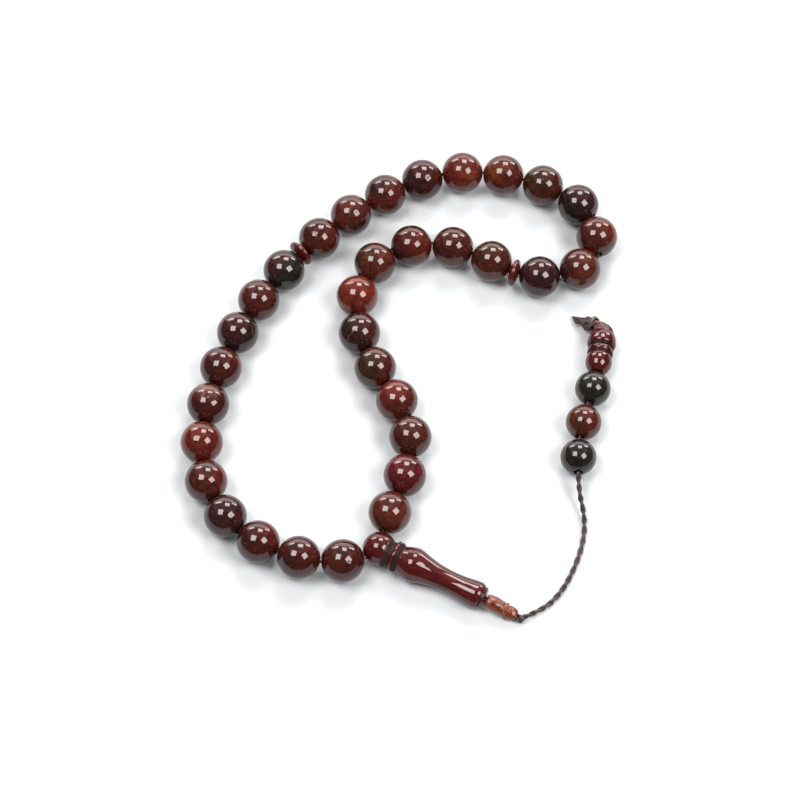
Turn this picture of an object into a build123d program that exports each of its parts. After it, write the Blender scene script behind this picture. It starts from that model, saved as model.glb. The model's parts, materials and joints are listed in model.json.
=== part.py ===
"""Misbaha: a string of prayer beads laid on a flat surface.

Thirty-three turned counting beads and two divider discs are threaded on one string. Both ends of the
string enter the leader's head, leave through its foot and a small collar bead, and are knotted. From
that neck knot they go on as one twisted tail cord, which carries three tail beads and the terminal and
ends in a wrapped knot.

Millimetres. The beads lie on the plane z = 0, +Z is up, and the origin is under the middle of the whole.
"""

import os
from math import cos, hypot, radians, sin, tan

from build123d import *

# Counting beads and divider discs
BEAD_R = 5.0
BEADS_PER_GROUP = 11
GROUPS = 3
BEAD_BORE_R = 0.75
BORE_FLARE = 0.3  # chamfer at each mouth of a bead's bore
DIVIDER_R = 3.35
DIVIDER_THICK = 2.1
DIVIDER_RIM_THICK = 1.3

# String and cord
STRING_R = 0.35
STRING_BEND_R = 2.1
STRING_PLAY = 0.25  # how far inside a corner the string may pass
STRAIGHT_ANGLE = 0.5  # degrees of turn below which the string counts as straight
STRAND_OFFSET = 0.4  # half the distance between the two strands side by side
CORD_R = 0.6
CORD_BEND_SHARE = 0.45  # share of the shorter run that a bend takes up

# Leader, along its axis from the centre of its head
HEAD_R = 3.9
LEADER_BORE_R = 1.1
SIDE_BORE_R = 0.85
HEAD_HEIGHT = 4.57  # the head's centre: the leader rests on its shoulder and its foot
LEADER_HEADING = -26.3
LEADER_PITCH = -3.05
NECK_AT = 2.6
NECK_END = (3.4, 2.98)
COLLAR_RIDGES = [(3.95, 3.6), (4.72, 3.62)]  # (distance, radius) of each ridge's crest
RIDGE_HALF_WIDTH = 0.36
RIDGE_DEPTH = 0.22
WAIST_OUTLINE = [
    (5.5, 3.12),
    (7.2, 3.76),
    (9.0, 4.06),
    (11.8, 3.36),
    (14.2, 2.86),
    (17.4, 2.62),
    (20.6, 2.72),
    (24.2, 3.2),
]
FOOT_GROOVE_AT = 26.1
FOOT_GROOVE_R = 2.6
FOOT_END = 26.8
FOOT_END_R = 2.1

# Collar bead, along its axis from the end that meets the leader
COLLAR_BEAD_LENGTH = 7.8
COLLAR_BEAD_BORE_R = 0.95
COLLAR_BEAD_PITCH = -12.0
COLLAR_BEAD_GAP = 0.35  # it hangs at a slight angle to the leader's flat end
NECK_KNOT_R = 1.1

# Tail beads and terminal
TAIL_BEAD_R = 4.25
TAIL_BORE_R = 1.0
TERMINAL_HEADING = 80.2
TERMINAL_PITCH = -4.85
TERMINAL_LENGTH = 13.4
DOME_RIDGES = [(11.75, 2.62), (12.15, 2.38), (12.55, 2.1), (12.95, 1.78)]  # (distance, radius) of each crest

# End knot
KNOT_RISE = 1.3  # how far the cord stands out of the terminal before it folds over
KNOT_WRAP_AT = (45.7, 15.2, 3.0)
KNOT_NECK_R = 0.8
KNOT_SWELL_R = 1.6
WRAP_R = 0.32
TIP_START = (43.0, 16.35, 1.9)
TIP_END = (41.1, 17.0, 0.95)
TIP_SECTIONS = [(0, 0.6, 0.6), (0.55, 0.9, 0.5), (1, 1.25, 0.3)]  # (share of its length, half width, half thickness)

GAP = 0.1  # between pieces that touch loosely

# Plan of the loop, from the leader's head round to it again: the line that the bead centres follow
HEAD_AT = (-5.5, -44.6)
LOOP_ROUTE = [
    HEAD_AT,
    (-13.9, -47.9),
    (-23.9, -46.9),
    (-33.3, -43.1),
    (-41.1, -36.6),
    (-45.8, -27.7),
    (-47.1, -17.7),
    (-43.2, 2.1),
    (-34.7, 20.4),
    (-20.3, 37.6),
    (-4.3, 49.9),
    (4.8, 54.2),
    (14.7, 56.3),
    (24.8, 55.4),
    (34.4, 52.5),
    (42.8, 46.9),
    (47.2, 37.8),
    (42.6, 28.8),
    (32.7, 26.7),
    (21.3, 31.2),
    (12.0, 35.1),
    (1.9, 35.3),
    (-7.1, 30.6),
    (-11.0, 21.3),
    (-10.5, 11.2),
    (-1.6, -6.8),
    (1.9, -16.3),
    (0.2, -26.3),
    (-3.2, -35.8),
    HEAD_AT,
]

# Route of the tail cord, from the neck knot: bare cord on the surface, then up to the first bead's bore
BARE_ROUTE = [
    (32.2, -58.0, 0.75),
    (36.4, -53.5, 0.65),
    (39.4, -47.7, 0.62),
    (41.5, -41.7, 0.62),
    (42.2, -35.8, 1.1),
    (40.5, -28.8, TAIL_BEAD_R),
]
# Where the cord turns between one piece and the next, through the tail beads to the terminal
TAIL_JOINTS = [(41.0, -16.8, TAIL_BEAD_R), (43.5, -7.9, TAIL_BEAD_R), (45.9, 1.0, TAIL_BEAD_R)]


def heading_vector(heading, pitch=0.0):
    """The unit vector at a heading in plan, in degrees from +X, and a pitch above the horizontal."""
    level = cos(radians(pitch))
    return Vector(level * cos(radians(heading)), level * sin(radians(heading)), sin(radians(pitch)))


def placed(piece, point, direction):
    """A piece made along +Z from the origin, moved so that it starts at a point and runs in a direction."""
    return Plane(origin=point, z_dir=direction).location * piece


def turned(*curves):
    """A solid turned about Z from curves in XZ, bottom to top, joined and closed by straight lines."""
    low = Vector(0, 0, (curves[0] @ 0).Z)
    high = Vector(0, 0, (curves[-1] @ 1).Z)
    ends = [low]
    for curve in curves:
        ends += [curve @ 0, curve @ 1]
    ends += [high]
    lines = [Line(a, b) for a, b in zip(ends[::2], ends[1::2]) if (b - a).length > 1e-6]
    return revolve(make_face([*curves, *lines, Line(high, low)]), Axis.Z)


def through(*points):
    """A smooth curve in XZ through (distance along the axis, radius) points."""
    return Spline(*[(radius, 0, along) for along, radius in points])


def straight(*points):
    """Straight lines in XZ through (distance along the axis, radius) points."""
    return Polyline(*[(radius, 0, along) for along, radius in points])


def ridge(at, radius, half_width, depth):
    """The rounded crest of one turned ring, in XZ."""
    foot = radius - depth
    return ThreePointArc((foot, 0, at - half_width), (radius, 0, at), (foot, 0, at + half_width))


def bored(body, radius, low, high):
    """A body with a straight bore about Z between two heights."""
    return body - Pos(0, 0, (low + high) / 2) * Cylinder(radius, high - low + 2)


def tube(points, radius, bends):
    """A round string or cord through route points, with an arc of its own radius at each corner."""
    path = FilletPolyline(*points, radius=bends)
    end_face = Plane(origin=path @ 0, z_dir=path % 0) * Circle(radius)
    return sweep(end_face, path)


def cord_bends(points):
    """The largest arc for each corner of a cord's route: it takes up a fixed share of the shorter run."""
    bends = []
    for before, corner, after in zip(points, points[1:], points[2:]):
        run_in = Vector(corner) - Vector(before)
        run_out = Vector(after) - Vector(corner)
        turn = radians(run_in.get_angle(run_out))
        bends.append(CORD_BEND_SHARE * min(run_in.length, run_out.length) / tan(turn / 2))
    return bends


def round_bead(radius, bore_r):
    """A ball with a bore along Z and a small flare at each mouth."""
    mouth = (radius**2 - bore_r**2) ** 0.5
    flare = Cone(bore_r, bore_r + 2 * BORE_FLARE, 2 * BORE_FLARE)
    ball = bored(Sphere(radius), bore_r, -radius, radius)
    ball -= Pos(0, 0, mouth) * flare
    return ball - Pos(0, 0, -mouth) * Rot(180, 0, 0) * flare


def divider():
    """A lens-shaped disc about Z with a rounded rim."""
    rim = DIVIDER_RIM_THICK / 2
    hub = DIVIDER_THICK / 2
    shoulder = DIVIDER_R - rim
    face_r = BEAD_BORE_R + 0.6
    disc = turned(
        straight((-hub, face_r), (-rim, shoulder)),
        ThreePointArc((shoulder, 0, -rim), (DIVIDER_R, 0, 0), (shoulder, 0, rim)),
        straight((rim, shoulder), (hub, face_r)),
    )
    return bored(disc, BEAD_BORE_R, -hub, hub)


def leader():
    """The turned leader about Z from its head's centre: head, ringed collar, long waist and foot."""
    neck_r = (HEAD_R**2 - NECK_AT**2) ** 0.5
    body = turned(
        ThreePointArc((0, 0, -HEAD_R), (HEAD_R, 0, 0), (neck_r, 0, NECK_AT)),
        straight((NECK_AT, neck_r), NECK_END),
        *[ridge(at, radius, RIDGE_HALF_WIDTH, RIDGE_DEPTH) for at, radius in COLLAR_RIDGES],
        through(*WAIST_OUTLINE),
        ThreePointArc((3.2, 0, 24.2), (3.12, 0, 25.25), (FOOT_GROOVE_R, 0, FOOT_GROOVE_AT)),
        ThreePointArc((FOOT_GROOVE_R, 0, FOOT_GROOVE_AT), (2.62, 0, 26.45), (FOOT_END_R, 0, FOOT_END)),
    )
    return bored(body, LEADER_BORE_R, 1.0, FOOT_END)


def collar_bead():
    """The small bead under the leader, about Z: a barrel, a ring and a rounded end."""
    body = turned(
        through((0, 1.25), (0.7, 1.58), (2.2, 1.78), (4.2, 1.6)),
        ridge(4.85, 1.85, 0.4, 0.2),
        through((5.5, 1.5), (6.5, 1.58), (7.3, 1.45), (COLLAR_BEAD_LENGTH, 1.15)),
    )
    return bored(body, COLLAR_BEAD_BORE_R, 0, COLLAR_BEAD_LENGTH)


def terminal():
    """The turned terminal about Z: a barrel, two rims with a ring between, a bulb and a ringed dome."""
    body = turned(
        through((0, 1.3), (0.9, 2.5), (2.8, 3.18), (4.3, 2.98), (5.0, 2.6)),
        straight((5.1, 3.05), (5.4, 3.05)),
        ridge(6.15, 2.95, 0.5, 0.35),
        straight((6.9, 3.1), (7.2, 3.1)),
        through((7.4, 2.9), (9.2, 3.45), (10.6, 3.2), (11.45, 2.6)),
        *[ridge(at, radius, 0.2, 0.15) for at, radius in DOME_RIDGES],
        straight((13.3, 1.5), (TERMINAL_LENGTH, 1.35)),
    )
    return bored(body, TAIL_BORE_R, 0, TERMINAL_LENGTH)


def end_knot(start, direction, wrap, swell_end):
    """The cord's end knot: out of the terminal, folded over, through the wrapping and into a swelling."""
    fold = start + direction * KNOT_RISE
    neck = tube([start + direction * 0.1, fold, wrap], KNOT_NECK_R, [KNOT_NECK_R * 1.05])
    run = swell_end - wrap
    length = run.length
    swelling = turned(
        straight((-0.3, KNOT_NECK_R), (0.4, KNOT_NECK_R)),
        through((0.4, KNOT_NECK_R), (length * 0.5, KNOT_SWELL_R), (length, CORD_R)),
    )
    return neck + placed(swelling, wrap, run)


def cord_tip(start, end):
    """The cut end of the cord, pressed flat."""
    run = end - start
    sections = []
    for share, half_width, half_thick in TIP_SECTIONS:
        plane = Plane(origin=start + run * share, x_dir=run.cross(Vector(0, 0, 1)), z_dir=run)
        sections.append(plane * Ellipse(half_width, half_thick))
    return loft(sections)


def step_along(route, start, reach):
    """How far along a route the point lies that is `reach` from the point at `start`."""
    here = route.position_at(start, PositionMode.LENGTH)
    low = start + reach
    high = start + 1.3 * reach
    while high - low > 1e-4:
        middle = (low + high) / 2
        if (route.position_at(middle, PositionMode.LENGTH) - here).length < reach:
            low = middle
        else:
            high = middle
    return low


def threaded_loop():
    """The loop's beads, as (centre, bore direction), and the points where the string turns.

    There is one turning point before each bead and one after the last. A divider sits on the turning
    point between two groups.
    """
    route = Spline(*[(x, y, BEAD_R) for x, y in LOOP_ROUTE])
    stations = [step_along(route, 0, hypot(HEAD_R + BEAD_R + GAP, BEAD_R - HEAD_HEIGHT))]
    spacings = []
    for i in range(1, GROUPS * BEADS_PER_GROUP):
        at_divider = i % BEADS_PER_GROUP == 0
        spacings.append(2 * BEAD_R + (DIVIDER_THICK + 2 * GAP if at_divider else GAP))
        stations.append(step_along(route, stations[-1], spacings[-1]))
    centres = [route.position_at(s, PositionMode.LENGTH) for s in stations]
    tangents = [route.tangent_at(s, PositionMode.LENGTH) for s in stations]
    slack = (centres[-1] - Vector(*HEAD_AT, HEAD_HEIGHT)).length - HEAD_R - BEAD_R
    print(f"gap left between the last bead and the head: {slack:.2f} mm")

    turns = [centres[0] - tangents[0] * (BEAD_R + GAP / 2)]
    for i, spacing in enumerate(spacings):
        half_turn = radians(tangents[i].get_angle(tangents[i + 1])) / 2
        reach = spacing / 2 / cos(half_turn)
        turns.append((centres[i] + tangents[i] * reach + centres[i + 1] - tangents[i + 1] * reach) / 2)
    turns.append(centres[-1] + tangents[-1] * (BEAD_R + GAP / 2))

    beads = []
    for centre, before, after in zip(centres, turns, turns[1:]):
        direction = (after - before).normalized()
        beads.append((before + direction * (centre - before).dot(direction), direction))
    return beads, turns


def string_bends(points):
    """The arc for each corner of the string: no further inside the corner than a bore leaves room for."""
    bends = []
    for before, corner, after in zip(points, points[1:], points[2:]):
        half_turn = radians((corner - before).get_angle(after - corner)) / 2
        by_run = CORD_BEND_SHARE * min((corner - before).length, (after - corner).length) / tan(half_turn)
        by_bore = STRING_PLAY / (1 / cos(half_turn) - 1)
        bends.append(max(STRING_BEND_R, min(by_run, by_bore)))
    return bends


def without_straight(points):
    """Route points without those where the route hardly turns."""
    kept = [points[0]]
    for corner, after in zip(points[1:], points[2:]):
        if (corner - kept[-1]).get_angle(after - corner) > STRAIGHT_ANGLE:
            kept.append(corner)
    return [*kept, points[-1]]


nodes = {}

# Counting beads, and a divider at each turning point between two groups
beads, turns = threaded_loop()
for i, (centre, direction) in enumerate(beads, 1):
    nodes[f"counting_bead_{i:02d}"] = placed(round_bead(BEAD_R, BEAD_BORE_R), centre, direction)
for group in range(1, GROUPS):
    after = group * BEADS_PER_GROUP
    direction = beads[after - 1][1] + beads[after][1]
    nodes[f"divider_{group}"] = placed(divider(), turns[after], direction)

# Leader, with a drilling from each side of its head to its bore
head = Vector(*HEAD_AT, HEAD_HEIGHT)
leader_axis = heading_vector(LEADER_HEADING, LEADER_PITCH)
nodes["leader"] = placed(leader(), head, leader_axis)
for turn in (turns[0], turns[-1]):
    drilling = Pos(0, 0, HEAD_R / 2 + 0.5) * Cylinder(SIDE_BORE_R, HEAD_R + 1)
    nodes["leader"] -= placed(drilling, head, turn - head)

# Collar bead and neck knot
foot = head + leader_axis * FOOT_END
collar_axis = heading_vector(LEADER_HEADING, COLLAR_BEAD_PITCH)
nodes["collar_bead"] = placed(collar_bead(), foot + collar_axis * COLLAR_BEAD_GAP, collar_axis)
neck_knot = foot + collar_axis * (COLLAR_BEAD_GAP + COLLAR_BEAD_LENGTH + GAP + NECK_KNOT_R)
nodes["neck_knot"] = Pos(*neck_knot) * Sphere(NECK_KNOT_R)

# String: from the neck knot up one side of the leader's bore, round the loop and down the other side
side = leader_axis.cross(Vector(0, 0, 1)).normalized() * STRAND_OFFSET
strand_end = neck_knot - collar_axis * (NECK_KNOT_R * 0.6)
up = [strand_end + side, foot + side, head + side]
down = [head - side, foot - side, strand_end - side]
string_route = without_straight([*up, *turns, *down])
nodes["loop_string"] = tube(string_route, STRING_R, string_bends(string_route))

# Tail cord, beads and terminal
first_run = (Vector(*BARE_ROUTE[0]) - neck_knot).normalized()
terminal_axis = heading_vector(TERMINAL_HEADING, TERMINAL_PITCH)
terminal_start = Vector(*TAIL_JOINTS[-1]) + terminal_axis * GAP / 2
terminal_end = terminal_start + terminal_axis * TERMINAL_LENGTH
cord_start = neck_knot + first_run * (NECK_KNOT_R + 0.05)
cord_end = terminal_end + terminal_axis * 0.1
cord_route = [cord_start, *[Vector(*p) for p in BARE_ROUTE + TAIL_JOINTS], cord_end]
bends = cord_bends(cord_route)
nodes["tail_cord"] = tube(cord_route, CORD_R, bends)
print("tail cord radii:", [round(r, 1) for r in bends])

bead_ends = [Vector(*p) for p in [BARE_ROUTE[-1], *TAIL_JOINTS]]
for i, (before, after) in enumerate(zip(bead_ends, bead_ends[1:]), 1):
    axis = (after - before).normalized()
    centre = after - axis * (TAIL_BEAD_R + GAP)
    nodes[f"tail_bead_{i}"] = placed(round_bead(TAIL_BEAD_R, TAIL_BORE_R), centre, axis)
nodes["terminal"] = placed(terminal(), terminal_start, terminal_axis)

# End knot
wrap = Vector(*KNOT_WRAP_AT)
tip_start = Vector(*TIP_START)
nodes["end_knot"] = end_knot(terminal_end, terminal_axis, wrap, tip_start)
nodes["knot_wrap"] = placed(Torus(KNOT_NECK_R + WRAP_R + 0.02, WRAP_R), wrap, tip_start - wrap)
nodes["cord_tip"] = cord_tip(tip_start, Vector(*TIP_END))

os.makedirs("parts", exist_ok=True)
for name, shape in nodes.items():
    export_step(shape, f"parts/{name}.step")
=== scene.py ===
"""Misbaha prayer beads: the looks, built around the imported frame. Metres, in the frame's own axes."""

import json
import math

import bpy
import numpy as np
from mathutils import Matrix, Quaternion, Vector


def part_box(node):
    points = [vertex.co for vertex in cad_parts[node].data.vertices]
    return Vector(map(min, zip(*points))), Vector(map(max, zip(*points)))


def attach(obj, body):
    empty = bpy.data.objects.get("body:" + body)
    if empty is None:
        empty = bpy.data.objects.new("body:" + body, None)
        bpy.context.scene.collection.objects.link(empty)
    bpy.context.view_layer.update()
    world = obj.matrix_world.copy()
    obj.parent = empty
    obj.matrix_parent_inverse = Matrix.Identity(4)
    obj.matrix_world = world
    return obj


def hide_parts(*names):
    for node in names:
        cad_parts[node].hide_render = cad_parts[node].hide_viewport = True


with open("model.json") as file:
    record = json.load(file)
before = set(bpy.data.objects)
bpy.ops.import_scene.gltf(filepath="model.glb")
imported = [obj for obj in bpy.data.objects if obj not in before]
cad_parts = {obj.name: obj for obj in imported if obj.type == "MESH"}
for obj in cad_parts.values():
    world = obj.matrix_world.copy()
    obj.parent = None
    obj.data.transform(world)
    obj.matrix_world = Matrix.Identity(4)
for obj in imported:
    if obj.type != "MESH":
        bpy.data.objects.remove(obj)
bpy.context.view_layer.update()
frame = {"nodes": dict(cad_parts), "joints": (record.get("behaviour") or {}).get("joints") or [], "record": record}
JOINT_OF = {joint["child"]: joint for joint in frame["joints"]}
MM = 0.001

# ---------------------------------------------------------------------------------------------------
# Driving dimensions, in millimetres
# ---------------------------------------------------------------------------------------------------
BEAD_R = 5.0
BEAD_BORE_R = 0.75
TAIL_BEAD_R = 4.25
TAIL_BORE_R = 1.0
BORE_FLARE = 0.3
HEAD_R = 3.9
LEADER_BORE_R = 1.1
COLLAR_BEAD_LENGTH = 7.8
COLLAR_BEAD_BORE_R = 0.95
COLLAR_BEAD_GAP = 0.35
TERMINAL_LENGTH = 13.4
DIVIDER_R = 3.35
DIVIDER_THICK = 2.1
DIVIDER_RIM_THICK = 1.3
PLY_R = 0.31
PLY_OFFSET = 0.31
PLY_LAY = -1.5  # each lobe takes the next one's place; below zero, they turn the same way as the plies
CORD_LAY = 5.0  # length of one full turn of the plies
NECK_KNOT_R = 1.1
FLOOR_CLEARANCE = 0.00002  # the lowest that a cord's surface goes, in metres

# The tail cord's route after the neck knot, the same points as in the CAD source
CORD_ROUTE = [
    (0.0322, -0.0580, 0.00075),
    (0.0364, -0.0535, 0.00065),
    (0.0394, -0.0477, 0.00062),
    (0.0415, -0.0417, 0.00062),
    (0.0422, -0.0358, 0.0011),
    (0.0405, -0.0288, 0.00425),
    (0.0410, -0.0168, 0.00425),
    (0.0435, -0.0079, 0.00425),
    (0.0459, 0.0010, 0.00425),
]

# ---------------------------------------------------------------------------------------------------
# Camera
# ---------------------------------------------------------------------------------------------------
CAMERA_AT = Vector((-0.0008, -0.2926, 0.56583))
CAMERA_TILT = math.radians(27.019)  # from straight down
CAMERA_LENS = 120.29

camera_data = bpy.data.cameras.new("camera")
camera_data.lens = CAMERA_LENS
camera_data.sensor_width = 36.0
camera_data.clip_start = 0.01
camera_data.clip_end = 20.0
camera = bpy.data.objects.new("camera", camera_data)
camera.location = CAMERA_AT
camera.rotation_euler = (CAMERA_TILT, 0.0, 0.0)
bpy.context.scene.collection.objects.link(camera)
bpy.context.scene.camera = camera

VIEW_RIGHT = Vector((1.0, 0.0, 0.0))
VIEW_UP = Vector((0.0, math.cos(CAMERA_TILT), math.sin(CAMERA_TILT)))
VIEW_BACK = Vector((0.0, -math.sin(CAMERA_TILT), math.cos(CAMERA_TILT)))


def facing(right, up):
    """The outward direction at a place on a ball's near side, given as shares of its radius."""
    return VIEW_RIGHT * right + VIEW_UP * up + VIEW_BACK * math.sqrt(1 - right**2 - up**2)


# ---------------------------------------------------------------------------------------------------
# Stage: a sheet to lie on, a floor round it, a pale surround and the soft lights
# ---------------------------------------------------------------------------------------------------
SHEET_HALF_WIDTH = 0.112
SHEET_FRONT = -0.125
SHEET_BEND = 0.135  # where the sheet starts to rise behind the beads
SHEET_RISE_R = 0.018
SHEET_RISE = 0.02
FLOOR_HALF_WIDTH = 3.0
FLOOR_AT = -0.00003  # a hair under the sheet
SURROUND_R = 4.0
SURROUND_HEIGHTS = (-0.5, 4.0)
ROOM_LIGHT = (0.13, 0.13, 0.135)
LIGHT_TINT = (1.0, 0.93, 0.91)

# (direction, width and height in degrees as seen from the beads, turn in degrees, radiance, distance)
LIGHTS = {
    "overhead_left": ((-0.396, -0.046, 0.917), (26, 26), -20, 12.5, 1.4),
    "overhead_right": ((0.544, -0.243, 0.803), (27, 27), -20, 12.5, 1.4),
    "back_left": ((-0.450, 0.773, 0.447), (21, 9), 145, 12.0, 1.4),
    "back_middle": ((0.152, 0.636, 0.756), (21, 20), 12, 13.5, 1.4),
    "back_right": ((0.597, 0.713, 0.367), (21, 8), 47, 12.0, 1.4),
    "ceiling": ((0.0, 0.45, 0.89), (100, 60), 0, 0.40, 2.2),
    "back_wall": ((0.0, 0.961, 0.276), (86, 28), 0, 3.2, 2.2),
}


def add_light(name, direction, size, turn, radiance, distance):
    """A rectangular soft light that faces the beads."""
    toward = Vector(direction).normalized()
    data = bpy.data.lights.new(name, "AREA")
    data.shape = "RECTANGLE"
    data.size = 2 * distance * math.tan(math.radians(size[0]) / 2)
    data.size_y = 2 * distance * math.tan(math.radians(size[1]) / 2)
    data.energy = radiance * math.pi * data.size * data.size_y
    data.color = LIGHT_TINT
    light = bpy.data.objects.new(name, data)
    light.location = toward * distance
    light.rotation_mode = "QUATERNION"
    spin = Quaternion((0, 0, 1), math.radians(turn))
    light.rotation_quaternion = toward.to_track_quat("Z", "Y") @ spin
    light.visible_camera = False
    bpy.context.scene.collection.objects.link(light)


def plain_material(name, colour, roughness):
    material = bpy.data.materials.new(name)
    material.use_nodes = True
    shader = material.node_tree.nodes["Principled BSDF"]
    shader.inputs["Base Color"].default_value = (*colour, 1)
    shader.inputs["Roughness"].default_value = roughness
    shader.inputs["Specular IOR Level"].default_value = 0.2
    return material


def stage_mesh(name, points, faces, material):
    mesh = bpy.data.meshes.new(name)
    mesh.from_pydata(points, [], faces)
    mesh.shade_smooth()
    mesh.materials.append(material)
    piece = bpy.data.objects.new(name, mesh)
    bpy.context.scene.collection.objects.link(piece)
    return piece


def strip(name, profile, half_width, material):
    """A sheet as wide as twice half_width, swept along a profile of (y, z) points."""
    points = [(x, y, z) for y, z in profile for x in (-half_width, half_width)]
    faces = [(2 * i, 2 * i + 1, 2 * i + 3, 2 * i + 2) for i in range(len(profile) - 1)]
    return stage_mesh(name, points, faces, material)


def build_stage():
    paper = plain_material("stage_paper", (0.515, 0.56, 0.58), 0.7)
    strip("stage_sheet", [(SHEET_FRONT, 0.0), (SHEET_BEND, 0.0)], SHEET_HALF_WIDTH, paper)
    curve = [math.radians(a) for a in range(0, 91, 10)]
    rise = [(SHEET_BEND + SHEET_RISE_R * math.sin(a), SHEET_RISE_R * (1 - math.cos(a))) for a in curve]
    rise.append((SHEET_BEND + SHEET_RISE_R, SHEET_RISE))
    back = strip("stage_sheet_rise", rise, SHEET_HALF_WIDTH, paper)
    back.visible_camera = False
    back.visible_shadow = False

    floor = strip("stage_floor", [(-FLOOR_HALF_WIDTH, 0.0), (FLOOR_HALF_WIDTH, 0.0)], FLOOR_HALF_WIDTH, paper)
    floor.location.z = FLOOR_AT
    floor.visible_glossy = False

    surround = bpy.data.materials.new("stage_surround")
    surround.use_nodes = True
    tree = surround.node_tree
    tree.nodes.remove(tree.nodes["Principled BSDF"])
    glow = tree.nodes.new("ShaderNodeEmission")
    glow.inputs["Color"].default_value = (0.93, 0.93, 0.94, 1)
    tree.links.new(glow.outputs[0], tree.nodes["Material Output"].inputs["Surface"])
    steps = [math.radians(a) for a in range(0, 360, 15)]
    ring = [(SURROUND_R * math.cos(a), SURROUND_R * math.sin(a), z) for z in SURROUND_HEIGHTS for a in steps]
    count = len(steps)
    faces = [(i, (i + 1) % count, count + (i + 1) % count, count + i) for i in range(count)]
    faces.append(tuple(range(count, 2 * count)))
    wall = stage_mesh("stage_surround", ring, faces, surround)
    for ray in ("diffuse", "glossy", "transmission", "volume_scatter", "shadow"):
        setattr(wall, f"visible_{ray}", False)

    for name, facts in LIGHTS.items():
        add_light(name, *facts)
    world = bpy.data.worlds.new("room")
    world.use_nodes = True
    world.node_tree.nodes["Background"].inputs["Color"].default_value = (*ROOM_LIGHT, 1)
    bpy.context.scene.world = world
    bpy.context.scene.view_settings.view_transform = "Standard"


# ---------------------------------------------------------------------------------------------------
# Meshes: every outline is a list of (along the axis, radius), in millimetres
# ---------------------------------------------------------------------------------------------------
def add_piece(name, points, faces, material, body, slot, nodes=()):
    """A piece with its mesh in place, riding on a body and standing for CAD nodes."""
    mesh = bpy.data.meshes.new(name)
    mesh.from_pydata([tuple(p) for p in points], [], faces)
    mesh.validate()
    mesh.shade_smooth()
    mesh.materials.append(material)
    piece = bpy.data.objects.new(name, mesh)
    bpy.context.scene.collection.objects.link(piece)
    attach(piece, body)
    if nodes:
        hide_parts(*nodes)
    return piece


def grid_faces(rows, columns, close_rows=True):
    """Quads between the rows and columns of a grid of points. The columns always close into rings."""
    faces = []
    for i in range(rows if close_rows else rows - 1):
        below = i * columns
        above = (i + 1) % rows * columns
        for j in range(columns):
            k = (j + 1) % columns
            faces.append((below + j, below + k, above + k, above + j))
    return faces


def axis_frame(axis):
    """Two directions square to an axis."""
    side = axis.cross(Vector((0, 0, 1)))
    if side.length < 1e-6:
        side = Vector((1, 0, 0))
    side.normalize()
    return side, axis.cross(side).normalized()


def revolve(outline, origin, axis, segments, relief=None):
    """Points and faces of a closed outline turned about an axis. relief gives a height for surface points."""
    outline = np.array(outline) * MM
    axis = Vector(axis).normalized()
    side, other = axis_frame(axis)
    angles = np.linspace(0, 2 * math.pi, segments, endpoint=False)
    ring = np.outer(np.cos(angles), side) + np.outer(np.sin(angles), other)
    points = outline[:, 0, None, None] * np.array(axis) + outline[:, 1, None, None] * ring[None]
    points = points.reshape(-1, 3)
    if relief is not None:
        points = relief(points)
    return points + np.array(origin), grid_faces(len(outline), segments)


def smooth_line(points, steps):
    """Points along a smooth curve (Catmull-Rom) through a few given ones."""
    p = np.array(points, float)
    p = np.vstack([2 * p[0] - p[1], p, 2 * p[-1] - p[-2]])
    out = []
    for a, b, c, d in zip(p, p[1:], p[2:], p[3:]):
        for t in np.linspace(0, 1, steps, endpoint=False):
            out.append(0.5 * (2 * b + (c - a) * t + (2 * a - 5 * b + 4 * c - d) * t**2
                              + (3 * b - a - 3 * c + d) * t**3))
    return [tuple(q) for q in [*out, p[-2]]]


def arc_line(at, centre_r, radius, start, end, steps):
    """Points on an arc in the outline's plane. Angles are in degrees from the axis direction."""
    return [(at + radius * math.cos(a), centre_r + radius * math.sin(a))
            for a in np.radians(np.linspace(start, end, steps))]


def ridge_line(at, crest, half_width, depth, steps=7):
    """One rounded turned ring of an outline."""
    return [(at + half_width * x, crest - depth * x * x) for x in np.linspace(-1, 1, steps)]


def bore_line(radius, high, low, steps=4):
    """The wall of a bore, from its high end back to its low end."""
    return [(along, radius) for along in np.linspace(high, low, steps)]


def ball_outline(radius, bore_r, waviness, phase):
    """A turned ball: slightly uneven along its axis, round about it, with a rounded mouth at each end."""
    mouth_r = bore_r + BORE_FLARE
    first = math.degrees(math.asin(mouth_r / radius))
    outer = []
    for a in np.radians(np.linspace(180 - first, first, 88)):
        wave = math.sin(5 * a + phase) + 0.7 * math.sin(8 * a + 2.3 * phase)
        r = radius + waviness * (wave - 1.7)
        outer.append((r * math.cos(a), r * math.sin(a)))
    top = outer[-1][0]
    mouth = [(top - 0.06, mouth_r - 0.12), (top - 0.2, mouth_r - 0.22), (top - 0.45, bore_r)]
    foot = [(-along, r) for along, r in reversed(mouth)]
    return [*foot, *outer, *mouth, *bore_line(bore_r, top - 1.5, 1.5 - top)]


def dents(radius, marks):
    """A relief that presses small round pits, given as (direction, width, depth), into a ball."""
    def relief(points):
        distance = np.linalg.norm(points, axis=1)
        out = points / np.maximum(distance, 1e-9)[:, None]
        for direction, width, depth in marks:
            apart = np.linalg.norm(out - np.array(direction), axis=1) * radius / width
            press = depth * MM * np.exp(-apart**4) * (distance > 0.8 * radius * MM)
            points = points - out * press[:, None]
        return points
    return relief


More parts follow.
